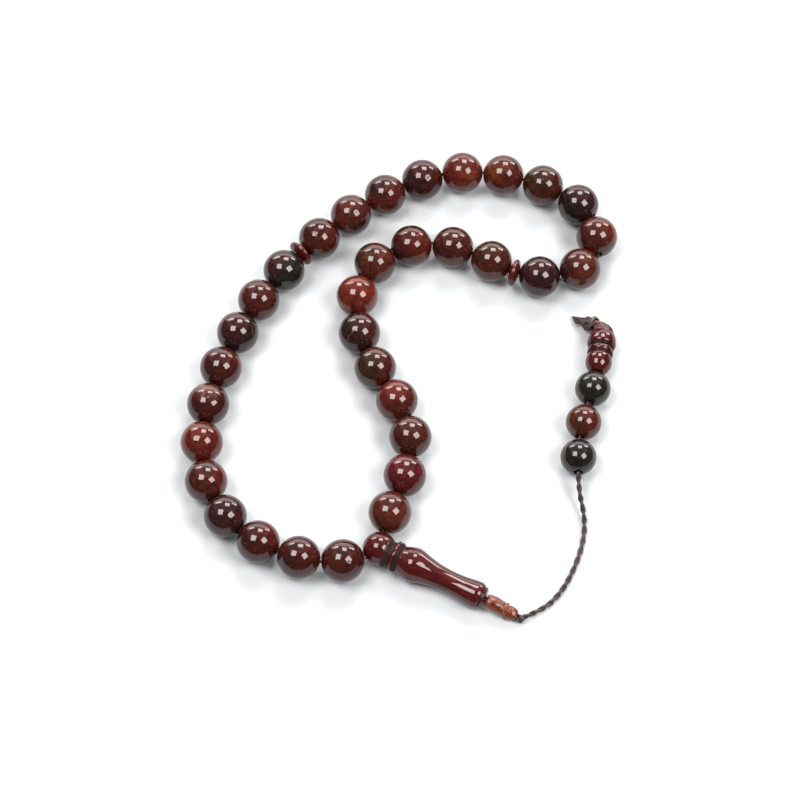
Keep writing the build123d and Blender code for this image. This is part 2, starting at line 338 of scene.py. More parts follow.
# ---------------------------------------------------------------------------------------------------
# Materials
# ---------------------------------------------------------------------------------------------------
PALETTE = {
    "maroon": (0.0386, 0.0074, 0.0039),
    "wine": (0.0325, 0.0050, 0.0034),
    "russet": (0.0494, 0.0087, 0.0050),
    "chestnut": (0.0560, 0.0135, 0.0050),
    "red": (0.0700, 0.0087, 0.0044),
    "scarlet": (0.0900, 0.0116, 0.0056),
    "crimson": (0.0580, 0.0053, 0.0062),
    "plum": (0.0180, 0.0056, 0.0056),
    "olive": (0.0220, 0.0105, 0.0040),
    "ebony": (0.0090, 0.0050, 0.0042),
    "black": (0.0090, 0.0080, 0.0066),
    "grey": (0.0135, 0.0120, 0.0108),
    "amber": (0.1150, 0.0280, 0.0080),
    "rose": (0.1150, 0.0400, 0.0310),
    "garnet": (0.0430, 0.0034, 0.0038),
    "ruby": (0.0660, 0.0060, 0.0056),
    "bronze": (0.0650, 0.0120, 0.0040),
    "copper": (0.1600, 0.0340, 0.0095),
    # This gold is only the painted highlight along the collar bead's scratches.
    "glint_gold": (0.3400, 0.1150, 0.0300),
}


class Graph:
    """A material's node tree with short calls for the nodes that the materials here use."""

    def __init__(self, name):
        self.material = bpy.data.materials.new(name)
        self.material.use_nodes = True
        self.nodes = self.material.node_tree.nodes
        self.links = self.material.node_tree.links
        self.shader = self.nodes["Principled BSDF"]

    def put(self, socket, value):
        if hasattr(value, "is_output"):
            self.links.new(value, socket)
        elif isinstance(value, tuple) and len(value) == 3 and socket.type == "RGBA":
            socket.default_value = (*value, 1)
        else:
            socket.default_value = value

    def node(self, kind, **inputs):
        made = self.nodes.new(kind)
        for name, value in inputs.items():
            self.put(made.inputs[name.replace("_", " ")], value)
        return made

    def math(self, operation, a, b=0.0):
        made = self.nodes.new("ShaderNodeMath")
        made.operation = operation
        self.put(made.inputs[0], a)
        self.put(made.inputs[1], b)
        return made.outputs[0]

    def dot(self, a, b):
        made = self.nodes.new("ShaderNodeVectorMath")
        made.operation = "DOT_PRODUCT"
        self.put(made.inputs[0], a)
        self.put(made.inputs[1], b)
        return made.outputs["Value"]

    def local(self, origin, axis):
        """Coordinates in millimetres from a point, with Z along an axis."""
        turn = Vector(axis).normalized().rotation_difference(Vector((0, 0, 1))).to_matrix()
        at = turn @ Vector(origin) / -MM
        where = self.nodes.new("ShaderNodeTexCoord").outputs["Object"]
        mapping = self.node("ShaderNodeMapping", Vector=where, Location=tuple(at),
                            Rotation=tuple(turn.to_euler()), Scale=(1 / MM,) * 3)
        return mapping.outputs["Vector"], turn

    def stretched(self, where, scale):
        return self.node("ShaderNodeMapping", Vector=where, Scale=scale).outputs["Vector"]

    def noise(self, where, scale, detail=2.0, distortion=0.0, roughness=0.5):
        made = self.node("ShaderNodeTexNoise", Vector=where, Scale=scale, Detail=detail,
                         Distortion=distortion, Roughness=roughness)
        return made.outputs[0]

    def cells(self, where, scale):
        return self.node("ShaderNodeTexVoronoi", Vector=where, Scale=scale).outputs["Distance"]

    def between(self, value, low, high, out_low=0.0, out_high=1.0):
        """A smooth step of a value from out_low at low to out_high at high."""
        made = self.nodes.new("ShaderNodeMapRange")
        made.interpolation_type = "SMOOTHSTEP"
        for socket, number in zip(made.inputs[:5], (value, low, high, out_low, out_high)):
            self.put(socket, number)
        return made.outputs[0]

    def mix(self, share, a, b):
        made = self.nodes.new("ShaderNodeMix")
        made.data_type = "RGBA"
        self.put(made.inputs["Factor"], share)
        self.put(made.inputs[6], a)
        self.put(made.inputs[7], b)
        return made.outputs[2]

    def bump(self, height, strength, distance, normal=None):
        made = self.node("ShaderNodeBump", Height=height, Strength=strength, Distance=distance)
        if normal is not None:
            self.put(made.inputs["Normal"], normal)
        return made.outputs["Normal"]

    def finish(self, colour, roughness, normal=None, coat=1.0, coat_roughness=0.04, specular=0.0, sheen=0.0):
        self.put(self.shader.inputs["Base Color"], colour)
        self.put(self.shader.inputs["Roughness"], roughness)
        self.shader.inputs["Specular IOR Level"].default_value = specular
        self.put(self.shader.inputs["Coat Weight"], coat)
        self.shader.inputs["Coat Roughness"].default_value = coat_roughness
        self.shader.inputs["Sheen Weight"].default_value = sheen
        if normal is not None:
            self.put(self.shader.inputs["Normal"], normal)
            self.put(self.shader.inputs["Coat Normal"], normal)
        return self.material


def scaled(colour, factor):
    return tuple(c * factor for c in colour)


def polished_wood(name, origin, axis, look, radius):
    """Polished mottled wood: two colours in swirls, a patch, streaks, specks, pores and perhaps a crack."""
    g = Graph(name)
    where, turn = g.local(origin, axis)
    main = PALETTE[look["main"]]
    second = PALETTE[look["second"]]

    swirl = g.noise(where, 0.33, 3.0, 1.6)
    colour = g.mix(g.between(swirl, 0.50, 0.66), main, second)
    if "patch" in look:
        direction = turn @ facing(*look["patch_at"])
        reach = g.dot(where, tuple(direction / radius))
        ragged = g.math("ADD", reach, g.math("MULTIPLY", g.noise(where, 0.55, 3.0, 0.8), 0.7))
        edge = 1.35 - look.get("spread", 0.2)
        colour = g.mix(g.between(ragged, edge - 0.22, edge + 0.22), colour, PALETTE[look["patch"]])
    streaks = g.noise(g.stretched(where, (1.1, 0.6, 0.35)), 0.9, 2.0, 0.5)
    colour = g.mix(g.between(streaks, 0.50, 0.70, 0.0, 0.7), colour, scaled(main, 0.4))
    glow = g.noise(where, 0.8, 1.5, 0.5)
    colour = g.mix(g.between(glow, 0.52, 0.72, 0.0, 0.75), colour, scaled(main, 1.9))

    specks = g.cells(where, 1.5)
    chosen = g.between(g.noise(where, 0.6, 1.0), 0.55, 0.62)
    light_specks = g.math("MULTIPLY", g.between(specks, 0.16, 0.07), chosen)
    colour = g.mix(g.math("MULTIPLY", light_specks, look.get("specks", 0.35)), colour, PALETTE["copper"])
    pores = g.cells(g.stretched(where, (1.0, 1.0, 0.7)), 0.8)
    few = g.between(g.noise(where, 0.45, 1.0), 0.60, 0.64)
    pits = g.math("MULTIPLY", g.between(pores, 0.13, 0.06), few)
    colour = g.mix(g.math("MULTIPLY", pits, 0.9), colour, scaled(PALETTE["black"], 0.6))

    height = g.math("MULTIPLY", pits, -1.0)
    if "crack" in look:
        across, along, reach = look["crack"]
        a = turn @ facing(*along)
        b = (a.cross(turn @ facing(*across))).normalized()
        wander = g.math("MULTIPLY", g.math("SUBTRACT", g.noise(where, 1.0, 3.0), 0.5), 0.9)
        off = g.math("ABSOLUTE", g.math("ADD", g.dot(where, tuple(b)), wander))
        near = g.between(g.dot(where, tuple(a / radius)), 1.0 - reach, 1.06 - reach)
        line = g.math("MULTIPLY", g.between(off, 0.11, 0.04), near)
        colour = g.mix(g.math("MULTIPLY", line, 0.9), colour, PALETTE[look.get("crack_colour", "black")])
        height = g.math("SUBTRACT", height, line)
    normal = g.bump(height, 0.5, 0.00012)
    smear = g.noise(where, 0.9, 4.0, 0.4)
    normal = g.bump(smear, 0.06, 0.00035, normal)
    roughness = g.between(smear, 0.3, 0.7, 0.26, 0.40)
    return g.finish(colour, roughness, normal, coat_roughness=look.get("gloss", 0.02))


ZONE_EDGE = 0.12  # half the width, in millimetres, over which a dull stretch sets in


def turned_wood(name, origin, axis, main, second, dull_zones, dull_colour, scratches_and_glints=False):
    """Polished turned wood with grain along its axis, and duller, darker stretches where rings are cut."""
    g = Graph(name)
    where, _ = g.local(origin, axis)
    grain = g.noise(g.stretched(where, (1.6, 1.6, 0.16)), 0.9, 4.0, 0.8)
    colour = g.mix(g.between(grain, 0.42, 0.68), PALETTE[main], PALETTE[second])
    cloud = g.noise(where, 0.3, 2.0, 1.0)
    colour = g.mix(g.between(cloud, 0.56, 0.70, 0.0, 0.6), colour, scaled(PALETTE[main], 0.45))
    along = g.node("ShaderNodeSeparateXYZ", Vector=where).outputs["Z"]
    dull = 0.0
    for low, high in dull_zones:
        above = g.between(along, low - ZONE_EDGE, low + ZONE_EDGE)
        below = g.between(along, high + ZONE_EDGE, high - ZONE_EDGE)
        zone = g.math("MULTIPLY", above, below)
        dull = g.math("MAXIMUM", dull, zone)
    scuffs = g.noise(g.stretched(where, (1.2, 1.2, 6.0)), 1.3, 3.0)
    colour = g.mix(g.math("MULTIPLY", dull, g.between(scuffs, 0.35, 0.6, 0.55, 0.95)), colour, dull_colour)
    pores = g.cells(g.stretched(where, (1.0, 1.0, 0.45)), 1.1)
    few = g.between(g.noise(where, 0.5, 1.0), 0.60, 0.66)
    pits = g.math("MULTIPLY", g.between(pores, 0.12, 0.05), few)
    colour = g.mix(g.math("MULTIPLY", pits, 0.85), colour, scaled(PALETTE["black"], 0.6))
    lines = g.noise(g.stretched(where, (0.25, 0.25, 9.0)), 1.0, 2.0)
    rough = g.math("ADD", lines, g.noise(where, 3.2, 3.0))
    normal = g.bump(g.math("MULTIPLY", rough, dull), 0.8, 0.00012)
    if scratches_and_glints:
        marks = g.noise(g.stretched(where, (2.6, 2.6, 0.45)), 1.0, 3.0, 0.4)
        # The gold along the scratches is a painted highlight, the glint of light on them; the scratches themselves
        # are real bumps, and the darker streaks beside them are grain.
        colour = g.mix(g.between(marks, 0.60, 0.70, 0.0, 0.8), colour, PALETTE["glint_gold"])
        colour = g.mix(g.between(marks, 0.44, 0.34, 0.0, 0.85), colour, scaled(PALETTE[second], 0.5))
        normal = g.bump(marks, 0.9, 0.00016, normal)
    normal = g.bump(g.math("MULTIPLY", pits, -1.0), 0.5, 0.00012, normal)
    roughness = g.math("ADD", g.math("MULTIPLY", dull, 0.25), g.between(grain, 0.3, 0.7, 0.25, 0.36))
    coat = g.between(dull, 0.0, 1.0, 1.0, 0.22) if dull_zones else 1.0
    return g.finish(colour, roughness, normal, coat=coat, coat_roughness=0.03)


def thread_material(name, dark, light, fibre_scale, coat=0.25, coat_roughness=0.2):
    """Twisted waxed thread with fine fibres: painted shade keeps the valleys dark, and the crests are lighter,
    partly as wear and partly as a painted highlight.
    """
    g = Graph(name)
    where, _ = g.local((0, 0, 0), (0, 0, 1))
    fibres = g.noise(where, fibre_scale, 4.0, 0.3, 0.65)
    pointiness = g.nodes.new("ShaderNodeNewGeometry").outputs["Pointiness"]
    # Pointiness picks the crests: the light colour there is part wear, part painted highlight, and the valleys
    # keep the dark colour as painted shade.
    crest = g.between(pointiness, 0.485, 0.535)
    crest_share = g.math("ADD", g.math("MULTIPLY", crest, 0.75), 0.25)
    wear_and_painted_light = g.math("MULTIPLY", g.between(fibres, 0.42, 0.62), crest_share)
    colour = g.mix(g.between(wear_and_painted_light, 0.35, 0.85), dark, light)
    normal = g.bump(fibres, 0.5, 0.00006)
    roughness = g.between(fibres, 0.3, 0.7, 0.38, 0.6)
    return g.finish(colour, roughness, normal, coat=coat, coat_roughness=coat_roughness, specular=0.3,
                    sheen=0.04)


# ---------------------------------------------------------------------------------------------------
# Counting beads and tail beads
# ---------------------------------------------------------------------------------------------------
def look(main, second, patch=None, patch_at=None, **more):
    facts = {"main": main, "second": second, **more}
    if patch:
        facts |= {"patch": patch, "patch_at": patch_at}
    return facts


BEAD_LOOKS = {
    1: look("wine", "plum", "maroon", (-0.5, -0.3), specks=0.5, crack=((0.9, 0.3), (0.85, -0.2), 0.18)),
    2: look("wine", "plum", "maroon", (0.85, 0.2), specks=0.5),
    3: look("wine", "plum", "crimson", (0.8, 0.38), spread=0.26),
    4: look("plum", "wine", "maroon", (0.7, -0.2), spread=0.1),
    5: look("maroon", "wine", "red", (0.8, 0.1), spread=0.16, specks=0.4),
    6: look("red", "maroon", "scarlet", (-0.5, 0.5), spread=0.12, specks=0.5),
    # Bead 7's rose patch near its top is a painted highlight; the bead's pits are pressed in by BEAD_DENTS.
    7: look("wine", "plum", "rose", (-0.04, 0.72), spread=0.10, specks=0.8),
    8: look("wine", "plum", "red", (0.85, 0.25), spread=0.08, crack=((0.9, 0.1), (0.55, -0.6), 0.25)),
    9: look("plum", "ebony", "wine", (-0.3, 0.5), crack=((0.6, 0.7), (0.75, 0.3), 0.12)),
    10: look("maroon", "wine"),
    11: look("black", "plum", "wine", (-0.5, 0.62), spread=0.3),
    12: look("wine", "maroon", "russet", (0.6, -0.1), specks=0.5, crack=((-0.2, 0.6), (-0.1, 0.0), 0.12)),
    13: look("russet", "red", "ebony", (0.6, -0.6), spread=0.15, crack=((0.1, 0.9), (-0.05, -0.2), 0.2)),
    14: look("russet", "red", "plum", (-0.5, 0.5), spread=0.25, specks=0.4),
    15: look("wine", "olive", "plum", (-0.6, -0.3), spread=0.3),
    16: look("red", "russet", "amber", (0.2, -0.25), spread=0.03),
    17: look("russet", "red", "amber", (-0.5, 0.1), spread=0.04, specks=0.5),
    18: look("maroon", "wine", "olive", (-0.6, 0.3), spread=0.32),
    19: look("plum", "wine", "ebony", (-0.7, -0.2), spread=0.4),
    20: look("maroon", "wine", "red", (0.75, 0.35), spread=0.25),
    21: look("russet", "chestnut", "ebony", (-0.88, 0.1), spread=0.22),
    22: look("plum", "wine"),
    23: look("maroon", "olive", specks=0.4),
    24: look("maroon", "russet", "wine", (-0.6, -0.4), spread=0.2),
    25: look("wine", "maroon", "red", (0.7, 0.0), spread=0.3, specks=0.7),
    26: look("russet", "chestnut", "olive", (-0.6, 0.5), spread=0.18, specks=0.6),
    27: look("scarlet", "russet", specks=0.2),
    28: look("plum", "black", "maroon", (0.7, 0.3), spread=0.36, crack=((-0.2, 0.15), (-0.45, -0.15), 0.1),
             crack_colour="rose"),
    29: look("maroon", "wine", "olive", (-0.7, 0.0), spread=0.4, specks=0.5),
    30: look("russet", "maroon", "scarlet", (-0.2, 0.6), spread=0.2, specks=0.6),
    31: look("maroon", "olive", "wine", (-0.6, -0.4), spread=0.2, specks=0.6),
    32: look("crimson", "wine", specks=0.4),
    33: look("russet", "chestnut", "amber", (0.5, -0.5), spread=0.03, crack=((-0.3, 0.8), (-0.6, 0.6), 0.12)),
}
TAIL_LOOKS = {
    1: look("black", "ebony", crack=((-0.4, 0.9), (-0.75, 0.35), 0.16), crack_colour="rose", specks=0.2),
    2: look("russet", "maroon", "olive", (-0.5, -0.1), spread=0.1, specks=0.3),
    3: look("black", "grey", gloss=0.09, specks=0.0),
}
BEAD_DENTS = {
    1: [((0.33, 0.0), 0.25, 0.08), ((0.8, 0.1), 0.45, 0.10)],
    3: [((0.6, -0.25), 0.5, 0.08), ((0.75, -0.4), 0.4, 0.1)],
    4: [((0.28, 0.09), 0.22, 0.08)],
    6: [((-0.21, 0.2), 0.25, 0.08)],
    7: [((0.25, 0.35), 0.8, 0.12), ((0.05, 0.4), 0.5, 0.10), ((0.1, 0.2), 0.4, 0.08),
        ((0.45, 0.3), 0.4, 0.08)],
    13: [((0.27, 0.06), 0.3, 0.1), ((-0.35, -0.55), 0.5, 0.1)],
    15: [((0.27, 0.04), 0.28, 0.12), ((-0.2, -0.55), 0.45, 0.08)],
    21: [((0.5, -0.6), 0.35, 0.16)],
    25: [((0.3, 0.5), 0.4, 0.08), ((-0.5, -0.2), 0.4, 0.07)],
}
SLOT_OF = {row["node"]: row["material_slot"] for row in frame["record"]["subparts"]}
SEGMENTS = 112
BEAD_WAVINESS = 0.008


def build_ball(node, piece_name, radius, bore_r, facts, marks, phase):
    """One bored ball in the place of its CAD node."""
    low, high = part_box(node)
    centre = (low + high) / 2
    joint = JOINT_OF[node]
    axis = Vector(joint["axis"])
    if joint["type"] == "hinge":
        centre = Vector(joint["pos_m"])
    relief = dents(radius, [(facing(*at), width, depth) for at, width, depth in marks]) if marks else None
    outline = ball_outline(radius, bore_r, BEAD_WAVINESS, phase)
    points, faces = revolve(outline, centre, axis, SEGMENTS, relief)
    material = polished_wood(f"{piece_name}_wood", centre, axis, facts, radius)
    return add_piece(piece_name, points, faces, material, node, SLOT_OF[node], [node])


def build_balls():
    for i, facts in BEAD_LOOKS.items():
        build_ball(f"counting_bead_{i:02d}", f"turned_bead_{i:02d}", BEAD_R, BEAD_BORE_R, facts,
                   BEAD_DENTS.get(i), 0.9 * i)
    tail_beads = []
    for i, facts in TAIL_LOOKS.items():
        tail_beads.append(build_ball(f"tail_bead_{i}", f"turned_tail_bead_{i}", TAIL_BEAD_R, TAIL_BORE_R,
                                     facts, None, 40 + i))
    return tail_beads


# ---------------------------------------------------------------------------------------------------
# Divider discs
# ---------------------------------------------------------------------------------------------------
def build_dividers():
    rim = DIVIDER_RIM_THICK / 2
    hub = DIVIDER_THICK / 2
    face_r = BEAD_BORE_R + 0.55
    side = smooth_line([(hub, face_r), (hub - 0.06, 1.9), (rim, DIVIDER_R - rim)], 6)
    rim_arc = arc_line(0, DIVIDER_R - rim, rim, 180, 0, 21)[1:-1]
    outer = [*[(-along, r) for along, r in side], *rim_arc, *reversed(side)]
    mouth = [(hub - 0.03, face_r - 0.2), (hub - 0.15, BEAD_BORE_R + 0.1), (hub - 0.3, BEAD_BORE_R)]
    outline = [*[(-along, r) for along, r in reversed(mouth)], *outer, *mouth]
    for i in (1, 2):
        node = f"divider_{i}"
        joint = JOINT_OF[node]
        points, faces = revolve(outline, joint["pos_m"], joint["axis"], SEGMENTS)
        material = turned_wood(f"turned_divider_{i}_wood", joint["pos_m"], joint["axis"], "ruby", "red", [],
                               PALETTE["ebony"])
        add_piece(f"turned_divider_{i}", points, faces, material, node, SLOT_OF[node], [node])


# ---------------------------------------------------------------------------------------------------
# Leader and collar bead
# ---------------------------------------------------------------------------------------------------
DULL = (0.022, 0.017, 0.0145)
# Dark colour put on the terminal's narrow rims and the grooves beside them, where the wood is also duller.
GROOVE_DARK = (0.0085, 0.0085, 0.0065)


def build_leader():
    low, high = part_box("leader")
    head = Vector((low.x + HEAD_R * MM, high.y - HEAD_R * MM, high.z - HEAD_R * MM))
    collar = JOINT_OF["collar_bead"]
    collar_axis = Vector(collar["axis"])
    foot = Vector(collar["pos_m"]) - collar_axis * (COLLAR_BEAD_LENGTH / 2 + COLLAR_BEAD_GAP) * MM
    axis = (foot - head).normalized()
    length = (foot - head).length / MM

    neck = math.degrees(math.acos(2.6 / HEAD_R))
    outline = [
        *arc_line(0, 0, HEAD_R, 180, neck, 60),
        (2.68, 2.88),
        (2.76, 2.92),
        *ridge_line(3.06, 3.0, 0.28, 0.06),
        (3.38, 2.94),
        (3.46, 2.9),
        (3.52, 3.1),
        *smooth_line([(3.56, 3.34), (3.68, 3.55), (3.95, 3.62), (4.2, 3.56), (4.32, 3.34)], 4),
        (4.36, 3.12),
        *ridge_line(4.62, 3.6, 0.2, 0.16),
        (4.84, 3.32),
        *ridge_line(5.0, 3.46, 0.14, 0.12),
        (5.17, 3.16),
        (5.34, 3.02),
        *smooth_line([(5.5, 3.1), (7.2, 3.76), (9.0, 4.05), (11.8, 3.36), (14.2, 2.86), (17.4, 2.62),
                      (20.6, 2.72), (23.6, 3.12), (24.7, 3.2), (25.5, 3.04), (25.95, 2.76)], 9),
        (26.02, 2.52),
        (26.14, 2.46),
        (26.22, 2.6),
        *smooth_line([(26.28, 2.66), (26.5, 2.56), (26.7, 2.3), (length, 1.9)], 5),
        (length, LEADER_BORE_R + 0.15),
        (length - 0.2, LEADER_BORE_R),
        (length - 12, LEADER_BORE_R),
        (1.0, LEADER_BORE_R),
        (0.9, 0.02),
        (-HEAD_R + 0.2, 0.02),
    ]
    outline[0] = (-HEAD_R, 0.02)
    points, faces = revolve(outline, head, axis, 144)
    material = turned_wood("turned_leader_wood", head, axis, "garnet", "ruby",
                           [(1.7, 3.5), (4.36, 5.6), (25.98, 26.25)], DULL)
    add_piece("turned_leader", points, faces, material, "string", "leader", ["leader"])


def build_collar_bead():
    joint = JOINT_OF["collar_bead"]
    axis = Vector(joint["axis"])
    start = Vector(joint["pos_m"]) - axis * COLLAR_BEAD_LENGTH / 2 * MM
    end = COLLAR_BEAD_LENGTH
    outline = [
        (0.18, COLLAR_BEAD_BORE_R),
        (0.0, COLLAR_BEAD_BORE_R + 0.12),
        *smooth_line([(0.02, 1.25), (0.7, 1.58), (2.2, 1.78), (4.2, 1.6)], 7),
        (4.34, 1.5),
        *ridge_line(4.85, 1.85, 0.4, 0.24, 9),
        (5.36, 1.46),
        *smooth_line([(5.5, 1.5), (6.5, 1.58), (7.2, 1.47), (end - 0.06, 1.24)], 5),
        (end, 1.12),
        (end - 0.12, COLLAR_BEAD_BORE_R),
        (end / 2, COLLAR_BEAD_BORE_R),
    ]
    points, faces = revolve(outline, start, axis, 96)
    material = turned_wood("turned_collar_bead_wood", start, axis, "copper", "bronze", [], DULL,
                           scratches_and_glints=True)
    add_piece("turned_collar_bead", points, faces, material, "collar_bead", "collar_bead", ["collar_bead"])


# ---------------------------------------------------------------------------------------------------
# Terminal
# ---------------------------------------------------------------------------------------------------
def terminal_axis():
    joint = JOINT_OF["terminal"]
    axis = Vector(joint["axis"])
    start = Vector(joint["pos_m"]) - axis * TERMINAL_LENGTH / 2 * MM
    return start, axis


def build_terminal():
    start, axis = terminal_axis()
    end = TERMINAL_LENGTH
    outline = [
        (0.3, TAIL_BORE_R),
        (0.02, TAIL_BORE_R + 0.1),
        *smooth_line([(0, 1.35), (0.25, 1.85), (0.9, 2.5), (2.0, 3.02), (3.0, 3.17), (4.1, 3.04),
                      (4.75, 2.72)], 7),
        (4.9, 2.66),
        (5.02, 2.96),
        *arc_line(5.25, 2.9, 0.16, 160, 20, 7),
        (5.5, 2.72),
        *smooth_line([(5.58, 2.84), (5.74, 2.99), (6.05, 3.05), (6.55, 2.95), (6.7, 2.78)], 5),
        (6.78, 2.66),
        (6.88, 2.98),
        *arc_line(7.05, 2.96, 0.15, 160, 20, 7),
        (7.3, 2.82),
        *smooth_line([(7.42, 3.02), (7.66, 3.3), (8.2, 3.44), (9.3, 3.36), (10.2, 3.12), (10.8, 2.82),
                      (11.05, 2.58)], 8),
        *[p for at, crest in ((11.3, 2.62), (11.72, 2.48), (12.14, 2.27), (12.56, 2.0), (12.96, 1.7))
          for p in ridge_line(at, crest, 0.2, 0.17)],
        (13.25, 1.5),
        (end, 1.32),
        (end, TAIL_BORE_R + 0.1),
        (end - 0.3, TAIL_BORE_R),
        (end / 2, TAIL_BORE_R),
    ]
    points, faces = revolve(outline, start, axis, 128)
    material = turned_wood("turned_terminal_wood", start, axis, "garnet", "ruby",
                           [(4.85, 5.6), (6.7, 7.45)], GROOVE_DARK)
    return add_piece("turned_terminal", points, faces, material, "terminal", "terminal", ["terminal"])


# ---------------------------------------------------------------------------------------------------
# Tail cord: two plies of lobed thread, twisted along the route's own spline
# ---------------------------------------------------------------------------------------------------
SPLINE_STEPS = 24  # for each control point


def spline_points(points):
    """Points read from the smooth spline that a route of control points gives."""
    data = bpy.data.curves.new("route", "CURVE")
    data.dimensions = "3D"
    spline = data.splines.new("NURBS")
    spline.points.add(len(points) - 1)
    for made, point in zip(spline.points, points):
        made.co = (*point, 1.0)
    spline.order_u = 3
    spline.use_endpoint_u = True
    spline.resolution_u = SPLINE_STEPS
    route = bpy.data.objects.new("route", data)
    bpy.context.scene.collection.objects.link(route)
    bpy.context.view_layer.update()
    mesh = bpy.data.meshes.new_from_object(route.evaluated_get(bpy.context.evaluated_depsgraph_get()))
    line = np.array([v.co[:] for v in mesh.vertices])
    bpy.data.objects.remove(route)
    bpy.data.curves.remove(data)
    bpy.data.meshes.remove(mesh)
    return line


def lengths_along(line):
    """The distance of each point of a line from its start, along it."""
    return np.concatenate([[0], np.cumsum(np.linalg.norm(np.diff(line, axis=0), axis=1))])


def evenly(line, step):
    """Points at even steps along a line."""
    along = lengths_along(line)
    count = max(2, int(along[-1] / step) + 1)
    at = np.linspace(0, along[-1], count)
    return np.stack([np.interp(at, along, line[:, k]) for k in range(3)], axis=1)


def lay(length):
    """The phase per metre at which each lobe takes the next one's place in a length in millimetres."""
    return 2 * math.pi / (length * MM)


def carried_frames(line):
    """Two side directions at each point of a line, carried along it without spin."""
    tangents = np.gradient(line, axis=0)
    tangents /= np.linalg.norm(tangents, axis=1)[:, None]
    side = np.cross(tangents[0], (0, 0, 1.0))
    sides = []
    for tangent in tangents:
        side = side - tangent * (side @ tangent)
        side /= np.linalg.norm(side)
        sides.append(side)
    sides = np.array(sides)
    return sides, np.cross(tangents, sides)


def tube_along(line, radius_at, ring, lobes=0, lobe_depth=0.0, lobe_turn=0.0):
    """Points and faces of a closed tube along a line. lobes give it twisted strands."""
    sides, ups = carried_frames(line)
    angles = np.linspace(0, 2 * math.pi, ring, endpoint=False)
    along = lengths_along(line)
    points = []
    for i, centre in enumerate(line):
        wave = 1 + lobe_depth * np.cos(lobes * angles + lobe_turn * along[i])
        r = radius_at(i / (len(line) - 1)) * wave
        points.append(centre + np.outer(r * np.cos(angles), sides[i]) + np.outer(r * np.sin(angles), ups[i]))
    points = np.vstack([*points, line[:1], line[-1:]])
    faces = grid_faces(len(line), ring, close_rows=False)
    first, last = len(points) - 2, len(points) - 1
    top = (len(line) - 1) * ring
    for j in range(ring):
        k = (j + 1) % ring
        faces.append((first, k, j))
        faces.append((last, top + j, top + k))
    return points, faces


def laid_on_floor(points):
    """Points with none below the surface that the beads lie on."""
    points[:, 2] = np.maximum(points[:, 2], FLOOR_CLEARANCE)
    return points


def joined(parts):
    """Several meshes' points and faces as one."""
    points, faces = [], []
    for part_points, part_faces in parts:
        first = sum(len(p) for p in points)
        points.append(part_points)
        faces += [tuple(v + first for v in face) for face in part_faces]
    return np.vstack(points), faces


def build_tail_cord(cord_material):
    knot_at = Vector(JOINT_OF["tail"]["pos_m"])
    start, axis = terminal_axis()
    begin = knot_at + (Vector(CORD_ROUTE[0]) - knot_at).normalized() * 0.5 * NECK_KNOT_R * MM
    end = start + axis * (TERMINAL_LENGTH + 0.1) * MM
    line = evenly(spline_points([begin, *CORD_ROUTE, end]), 0.16 * MM)
    sides, ups = carried_frames(line)
    along = lengths_along(line)
    uneven = 0.5 * np.sin(along / (7.3 * MM))
    turn = 2 * math.pi * along / (CORD_LAY * MM) + uneven
    plies = []
    for phase in (0.0, math.pi):
        out = np.cos(turn + phase)[:, None] * sides + np.sin(turn + phase)[:, None] * ups
        centre = line + out * PLY_OFFSET * MM
        plies.append(tube_along(centre, lambda t: PLY_R * MM, 18, 4, 0.13, lay(PLY_LAY)))
    points, faces = joined(plies)
    points = laid_on_floor(points)
    cord = add_piece("twisted_tail_cord", points, faces, cord_material, "tail", "cord", ["tail_cord"])


# ---------------------------------------------------------------------------------------------------
# Knots
# ---------------------------------------------------------------------------------------------------
def build_neck_knot(cord_material):
    """An overhand knot drawn up tight: a trefoil of the cord round a small core."""
    centre = np.array(JOINT_OF["tail"]["pos_m"])
    axis = Vector(JOINT_OF["collar_bead"]["axis"])
    side, other = axis_frame(axis)
    t = np.linspace(0, 2 * math.pi, 121)[:-1]
    x = np.sin(t) + 2 * np.sin(2 * t)
    y = np.cos(t) - 2 * np.cos(2 * t)
    z = -np.sin(3 * t)
    spread = 0.235 * MM
    loop = centre + spread * (np.outer(x, side) + np.outer(y, other)) + 0.42 * MM * np.outer(z, axis)
    ring = 14
    tangents = np.roll(loop, -1, axis=0) - np.roll(loop, 1, axis=0)
    tangents /= np.linalg.norm(tangents, axis=1)[:, None]
    outward = loop - centre
    ups = np.cross(tangents, outward)
    ups /= np.linalg.norm(ups, axis=1)[:, None]
    sides = np.cross(ups, tangents)
    angles = np.linspace(0, 2 * math.pi, ring, endpoint=False)
    points = []
    for i, at in enumerate(loop):
        r = 0.36 * MM * (1 + 0.12 * np.cos(4 * angles + 0.55 * i))
        points.append(at + np.outer(r * np.cos(angles), sides[i]) + np.outer(r * np.sin(angles), ups[i]))
    points = laid_on_floor(np.vstack(points))
    faces = grid_faces(len(loop), ring)
    core_line = np.array([centre - np.array(axis) * 0.9 * MM * s for s in np.linspace(1, -1, 9)])
    core = tube_along(core_line, lambda s: 0.55 * MM * math.sqrt(max(0.05, 1 - (2 * s - 1) ** 2)), 14)
    points, faces = joined([(points, faces), core])
    add_piece("tied_neck_knot", points, faces, cord_material, "string", "cord", ["neck_knot"])


KNOT_WRAP_AT = Vector((0.0457, 0.0152, 0.0030))
TIP_START = Vector((0.0430, 0.01635, 0.0019))
TIP_END = Vector((0.0411, 0.0170, 0.00095))
WRAP_AXIS = Vector((-0.0027, 0.0020, -0.0011))
# Strands over the terminal's end: (along its axis from the end, radius)
STRANDS = [(-2.45, 2.85), (-1.75, 2.52), (-1.05, 2.02), (-0.4, 1.35)]
# The angle round the axis in degrees, and the slide along it, of each point of a strand
STRAND_TURNS = [(-25, -0.55), (30, -0.35), (85, 0.0), (140, 0.35)]
STRAND_R = 0.26
KNOT_CORE_R = 0.85
HITCHES = [(0.30, 0.4), (0.52, 2.6)]  # (share of the way from the whipping to the tip, phase)
HITCH_RING_R = 1.42
HITCH_R = 0.34
WRAP_TURNS = 2.3
WRAP_RING_R = 1.34
WRAP_R = 0.25
TIP_STRANDS = 11


